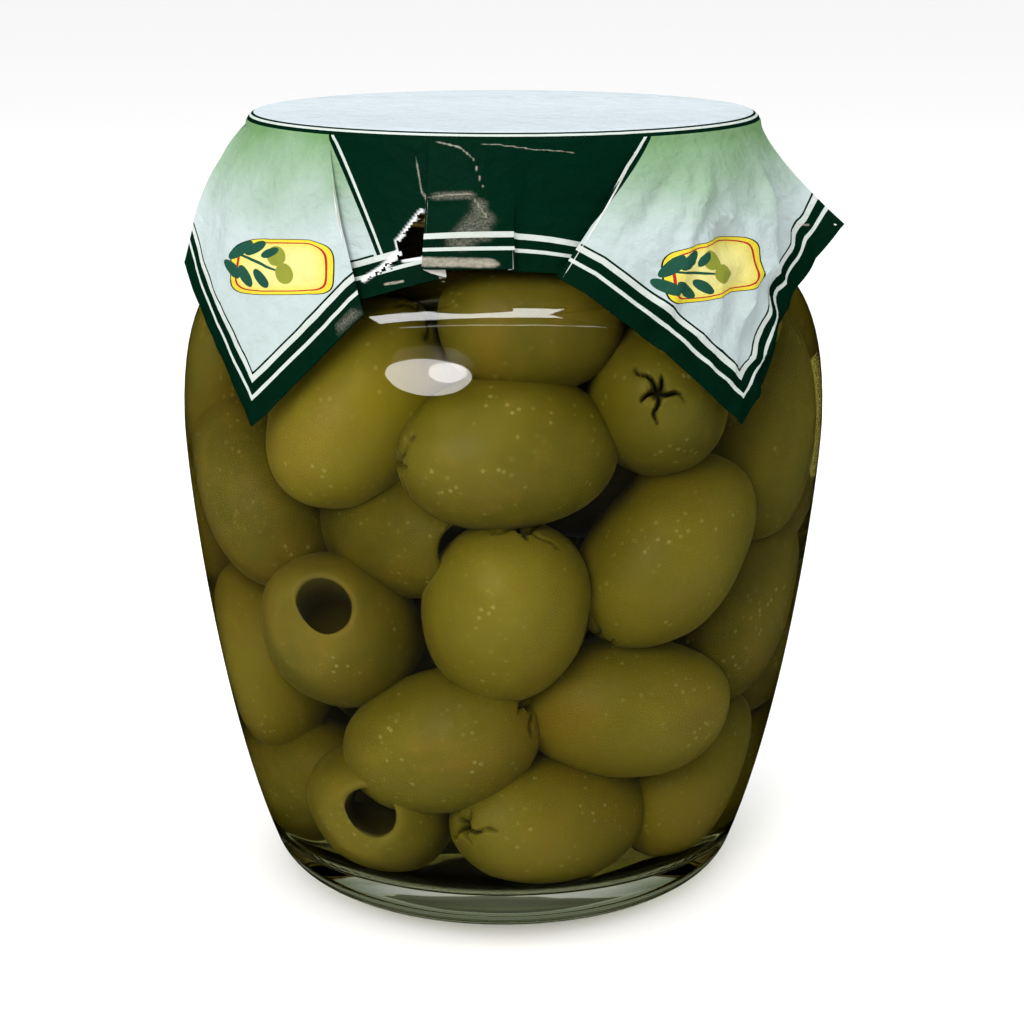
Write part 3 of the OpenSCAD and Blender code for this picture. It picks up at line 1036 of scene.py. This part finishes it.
# Bands of the border, from the sheet's edge inwards: from, to, colour, and whether only on corners
BORDER = (
    (-1.0, 2.7, PANEL_GREEN, False), (2.7, 3.25, STRIPE_WHITE, False), (3.25, 4.55, PANEL_GREEN, False),
    (4.55, 5.4, STRIPE_WHITE, False), (5.4, 5.7, PANEL_GREEN, True),
)
# Stem, leaves and olives on the yellow field: place, half length, half width, turn and colour
SPRIG = (
    (4.9, 0.5, 5.4, 0.20, 14, LEAF_GREEN), (9.6, -0.6, 2.3, 0.85, 32, LEAF_GREEN),
    (8.4, 2.1, 2.3, 0.85, -28, LEAF_GREEN), (6.6, -1.6, 2.2, 0.8, 40, LEAF_GREEN),
    (5.6, 2.4, 2.1, 0.8, -22, LEAF_GREEN), (3.4, -1.8, 2, 0.75, 34, LEAF_GREEN),
    (1.2, 1.5, 1.9, 1.35, 16, OLIVE_PRINT), (-0.9, -0.9, 1.9, 1.35, 24, OLIVE_PRINT),
    (2.6, 1.9, 1.7, 0.65, -18, LEAF_GREEN),
)


def cover_material():
    """Printed paper: a dark cross, pale corners, a striped border and a white disc."""
    material, tree, shader = new_material("cover_printed_paper", {
        "Roughness": 0.5, "Specular IOR Level": 0.015})
    maths, blend, step = partial(maths_of, tree), partial(blend_of, tree), partial(step_of, tree)
    place = node(tree, "ShaderNodeUVMap", uv_map="sheet").outputs["UV"]
    flat = node(tree, "ShaderNodeMapping", {
        "Vector": place, "Location": (-0.5 * SHEET_SPAN, -0.5 * SHEET_SPAN, 0),
        "Scale": (SHEET_SPAN, SHEET_SPAN, 0)}).outputs["Vector"]
    cloudy = partial(noise_of, tree, flat)

    def parts_of(vector, absolute=False):
        if absolute:
            vector = node(tree, "ShaderNodeVectorMath", {0: vector}, operation="ABSOLUTE").outputs["Vector"]
        return node(tree, "ShaderNodeSeparateXYZ", {"Vector": vector}).outputs

    def times(a, b):
        return maths("MULTIPLY", a, b)

    def above(value, low):
        return maths("GREATER_THAN", value, low)

    def below(value, high):
        return maths("LESS_THAN", value, high)

    def within(value, low, high):
        return times(above(value, low), below(value, high))

    across, along, _ = parts_of(flat, absolute=True)
    from_edge = maths("SUBTRACT", SHEET_HALF, maths("MAXIMUM", across, along))
    from_panel = maths("MINIMUM", maths("SUBTRACT", across, PANEL_HALF), maths("SUBTRACT", along, ARM_HALF))
    reach = node(tree, "ShaderNodeVectorMath", {0: flat}, operation="LENGTH").outputs["Value"]

    fade = maths("MULTIPLY_ADD", cloudy(0.09, 3.0, 0.55), 10.0, maths("SUBTRACT", reach, 5.0))
    fade = maths("DIVIDE", maths("SUBTRACT", fade, DISC_PRINT_R + 1), 15.0)
    corner = ramp_of(tree, fade, [(0.0, CORNER_GREEN), (0.45, CORNER_MID), (1.0, CORNER_PALE)])
    screen = node(tree, "ShaderNodeTexVoronoi", {"Vector": flat, "Scale": 3.4, "Randomness": 0.15})
    dots = below(screen.outputs["Distance"], 0.33)
    panel = blend(times(dots, 0.55), PANEL_GREEN, PANEL_DOT)
    ink = blend(above(from_panel, 0.0), panel, corner)
    ink = blend(within(from_panel, -0.32, 0.0), ink, STRIPE_WHITE)
    ink = blend(within(from_panel, 0.0, 0.5), ink, PANEL_GREEN)
    for low, high, colour, only_corners in BORDER:
        band = within(from_edge, low, high)
        if only_corners:
            band = times(band, above(from_panel, 0.9))
        ink = blend(band, ink, colour)

    # The emblem's place: a plain yellow field, and a sprig that is turned with the corner
    radial = times(maths("ADD", across, along), math.sqrt(0.5))
    tangent = times(maths("SUBTRACT", across, along), -math.sqrt(0.5))
    aside = maths("SUBTRACT", tangent, EMBLEM_ASIDE)
    down = maths("SUBTRACT", EMBLEM_AT, radial)
    signed = parts_of(flat)
    side = maths("SIGN", times(signed["X"], signed["Y"]))
    mirrored = node(tree, "ShaderNodeCombineXYZ", {"X": aside, "Y": down}).outputs["Vector"]
    turned = node(tree, "ShaderNodeCombineXYZ", {
        "X": times(times(aside, side), -1.0), "Y": down}).outputs["Vector"]

    def spot(local, x, y, wide, high, turn, power=2.0):
        """A rounded spot: 1 on its outline and less inside."""
        at = node(tree, "ShaderNodeMapping", {
            "Vector": local, "Location": (x, y, 0),
            "Rotation": (0, 0, math.radians(turn)), "Scale": (wide, high, 1)}, vector_type="TEXTURE")
        part = parts_of(at.outputs["Vector"], absolute=True)
        return maths("ADD", maths("POWER", part["X"], power), maths("POWER", part["Y"], power))

    field = spot(mirrored, 0, 0, *FIELD_SIZE, FIELD_TURN, 4.5)
    yellow = ramp_of(tree, field, [(0.0, FIELD_LIGHT), (0.75, FIELD_YELLOW)])
    ink = blend(below(field, 1.12), ink, PANEL_GREEN)
    ink = blend(below(field, 1.0), ink, yellow)
    ink = blend(within(field, 0.50, 0.62), ink, FIELD_RED)
    for *shape, colour in SPRIG:
        ink = blend(below(spot(turned, *shape), 1.0), ink, colour)

    # The disc: white, with a faint cloudy grey on its front half and a smudge at the back
    upright = signed["Y"]
    frontwards = step(maths("MULTIPLY_ADD", cloudy(0.22, 4.0, 0.75, 0.4), 26.0, upright), 22.0, -12.0)
    smudge = times(within(upright, 19.0, 24.0), step(cloudy(0.34, 3.0, 0.7), 0.45, 0.62))
    blotch = maths("MAXIMUM", frontwards, times(smudge, 1.2))
    blotch = times(blotch, maths("ADD", step(cloudy(1.1, 4.0, 0.8), 0.35, 0.65), 0.35))
    white = blend(times(blotch, 0.42), DISC_WHITE, DISC_GREY)
    ink = blend(within(reach, DISC_PRINT_R, DISC_PRINT_R + 1.4), ink, PANEL_GREEN)
    ink = blend(within(reach, DISC_PRINT_R + 0.4, DISC_PRINT_R + 0.8), ink, STRIPE_WHITE)
    ink = blend(below(reach, DISC_PRINT_R), ink, white)

    # Wear: bare lines and patches, white fibres of the tear, and a little grime
    ragged = maths("ADD", cloudy(1.3, 5.0, 0.8), 0.4)
    worn = times(step(times(painted(tree, "worn"), ragged), 0.45, 1.15), 0.75)
    rubbed = times(painted(tree, "rubbed"), step(cloudy(2.8, 6.0, 0.9), 0.35, 0.75))
    ink = blend(maths("MAXIMUM", worn, times(rubbed, 0.5)), ink, PAPER_BARE)
    ink = blend(painted(tree, "torn"), ink, PAPER_TORN)
    grime = step(cloudy(0.16, 4.0, 0.6), 0.3, 0.75)
    ink = blend(times(grime, 0.22), ink, GRIME, "MULTIPLY")

    tree.links.new(ink, shader.inputs["Base Color"])
    height = maths("MULTIPLY_ADD", cloudy(4.5, 4.0, 0.65), 0.05, cloudy(0.45, 3.0, 0.5, 0.3))
    bumped(tree, shader, height, 0.5, 0.0011)
    return material


def bare_paper_material():
    """The paper's own off-white, on its inner side and its cut edge."""
    material, tree, shader = new_material("cover_bare_paper", {"Roughness": 0.7, "Specular IOR Level": 0.1})
    shade = noise_of(tree, object_coords(tree), 260.0, 3.0, 0.6)
    colour = ramp_of(tree, shade, [(0.3, PAPER_BARE), (0.7, PAPER_TORN)])
    tree.links.new(colour, shader.inputs["Base Color"])
    return material


def cover_sheet():
    """The whole sheet, draped, with its flat places kept as a UV map."""
    sheet, real = cover_grid()
    rings, count = sheet.shape[:2]
    mesh = bpy.data.meshes.new("cover_paper")
    verts = [(0, 0, COVER_TOP / MM)] + [tuple(p) for ring in real for p in ring]
    places = [(0, 0)] + [tuple(p) for ring in sheet for p in ring]
    faces = [(0, 1 + k, 1 + (k + 1) % count) for k in range(count)]
    for j in range(rings - 1):
        for k in range(count):
            a, b = 1 + j * count + k, 1 + j * count + (k + 1) % count
            faces.append((a, a + count, b + count, b))
    mesh.from_pydata([Vector(v) * MM for v in verts], [], faces)
    uv = mesh.uv_layers.new(name="sheet")
    flat = np.array(places)[[loop.vertex_index for loop in mesh.loops]]
    uv.data.foreach_set("uv", (flat / SHEET_SPAN + 0.5).ravel())
    return mesh


def tear(mesh):
    """Tears the sheet: a finer mesh round the tear, then its faces go."""
    work = bmesh.new()
    work.from_mesh(mesh)
    layer = work.loops.layers.uv["sheet"]

    def sheet_place(face):
        x = sum(loop[layer].uv.x for loop in face.loops) / len(face.loops)
        y = sum(loop[layer].uv.y for loop in face.loops) / len(face.loops)
        return (x - 0.5) * SHEET_SPAN, (y - 0.5) * SHEET_SPAN

    left, right, back = TEAR_ZONE
    edges = set()
    for face in work.faces:
        x, y = sheet_place(face)
        if left < x < right and y < back:
            edges.update(face.edges)
    bmesh.ops.subdivide_edges(work, edges=list(edges), cuts=2, use_grid_fill=True)
    gone = []
    for face in work.faces:
        x, y = sheet_place(face)
        aside, up = (
            noise.noise(Vector((x * TEAR_JAG_SCALE, y * TEAR_JAG_SCALE, layer_at))) for layer_at in (0, 5))
        if in_outline(x + aside * TEAR_JAG, y + up * TEAR_JAG, TEAR):
            gone.append(face)
    bmesh.ops.delete(work, geom=gone, context="FACES")
    bmesh.ops.recalc_face_normals(work, faces=work.faces)
    work.to_mesh(mesh)
    work.free()


def cover():
    """The square of printed paper: folded down over the lid, torn at the front."""
    mesh = cover_sheet()
    piece = added("cover_paper", mesh)
    tear(mesh)
    uv_data = np.zeros(len(mesh.loops) * 2)
    mesh.uv_layers["sheet"].data.foreach_get("uv", uv_data)
    places = np.zeros((len(mesh.vertices), 2))
    places[[loop.vertex_index for loop in mesh.loops]] = (uv_data.reshape(-1, 2) - 0.5) * SHEET_SPAN
    for name, lines in (("worn", WORN), ("rubbed", RUBBED), ("torn", FRAY)):
        set_attribute(mesh, name, marked(places, lines))
    hand_over(piece, "cover", "cover_paper", cover_material(), bare_paper_material())
    select_only(piece)
    solid = piece.modifiers.new("thickness", "SOLIDIFY")
    solid.thickness = PAPER
    solid.offset = -1
    solid.use_even_offset = False
    solid.material_offset = 1
    bpy.ops.object.modifier_apply(modifier="thickness")
    bpy.ops.object.shade_smooth_by_angle(angle=SHARP_FOLD)


# ---------------------------------------------------------------- camera, light and floor

CAMERA_BACK = 0.350
CAMERA_UP = 0.1478
CAMERA_TILT = math.radians(14.39)
CAMERA_LENS = 80.58
CAMERA_SENSOR = 36
SHIFT = (0.0084, -0.0110)


def camera():
    """The camera, a little above the jar and tilted down to it."""
    data = bpy.data.cameras.new("camera")
    data.sensor_width = CAMERA_SENSOR
    data.lens = CAMERA_LENS
    data.clip_start = 0.01
    data.shift_x, data.shift_y = SHIFT
    made = added("camera", data)
    made.location = (0, -CAMERA_BACK, CAMERA_UP)
    made.rotation_euler = (math.pi / 2 - CAMERA_TILT, 0, 0)
    bpy.context.scene.camera = made


FLOOR_SIZE = 200
# The room's light: at the horizon and overhead; below the horizon only a share of it is left,
# reached between these two heights of a ball of radius 1
HORIZON_LIGHT = 0.2
ZENITH_LIGHT = 1.45
ROOM_BELOW = 0.1
HORIZON_EDGE = (-0.08, 0.02)
LAMP_AIM = Vector((0, 0, 0.06))
WARM_LIGHT = (1.0, 0.96, 0.93)
# Lamps: name, direction and height (degrees), distance and size (m), power, colour and shape
LAMPS = (
    ("overhead_strip", 3, 84.5, 0.75, (0.9, 0.13), 4.2, WHITE, "RECTANGLE"),
    ("overhead_thin", 0, 71, 0.75, (0.75, 0.010), 0.16, WHITE, "RECTANGLE"),
    ("key_left", -26.5, 24, 0.9, (0.46, 0.34), 3.9, WARM_LIGHT, "ELLIPSE"),
    ("key_left_wing", -20, 27, 0.9, (0.2, 0.2), 0.9, WARM_LIGHT, "ELLIPSE"),
)


def softbox(name, turn, lift, distance, size, power, colour, shape):
    """An area lamp aimed at the jar's middle."""
    data = bpy.data.lights.new(name, "AREA")
    data.shape = shape
    data.size, data.size_y = size
    data.energy = power
    data.color = colour
    made = added(name, data)
    a, e = math.radians(turn), math.radians(lift)
    away = Vector((math.sin(a) * math.cos(e), -math.cos(a) * math.cos(e), math.sin(e)))
    made.location = LAMP_AIM + away * distance
    made.rotation_euler = away.to_track_quat("Z", "Y").to_euler()


def studio():
    """A plain pale floor, soft light all round, and the softboxes."""
    bpy.ops.object.select_all(action="DESELECT")
    bpy.ops.mesh.primitive_plane_add(size=FLOOR_SIZE, location=(0, 0, 0))
    floor = bpy.context.object
    floor.name = "floor"
    material, _, _ = new_material("floor_pale", {
        "Base Color": (0.94, 0.94, 0.94, 1), "Roughness": 0.8, "Specular IOR Level": 0.1})
    floor.data.materials.append(material)
    # The bright floor isn't mirrored in the glass
    floor.visible_glossy = False
    world = bpy.data.worlds.new("studio")
    bpy.context.scene.world = world
    # Only the lamps show as reflections, as in a dark room
    world.cycles_visibility.glossy = False
    world.use_nodes = True
    tree = world.node_tree
    upwards = node(tree, "ShaderNodeSeparateXYZ", {
        "Vector": node(tree, "ShaderNodeTexCoord").outputs["Generated"]}).outputs["Z"]
    strength = node(tree, "ShaderNodeMapRange", {
        "Value": upwards, "To Min": HORIZON_LIGHT, "To Max": ZENITH_LIGHT}).outputs["Result"]
    above = node(tree, "ShaderNodeMapRange", {
        "Value": upwards, "From Min": HORIZON_EDGE[0], "From Max": HORIZON_EDGE[1],
        "To Min": ROOM_BELOW}).outputs["Result"]
    tree.links.new(maths_of(tree, "MULTIPLY", strength, above), tree.nodes["Background"].inputs["Strength"])
    tree.nodes["Background"].inputs["Color"].default_value = (1, 1, 1, 1)
    for lamp in LAMPS:
        softbox(*lamp)
    bpy.context.scene.view_settings.view_transform = "Standard"


camera()
jar_glass()
brine()
olives()
lid()
cover()
studio()
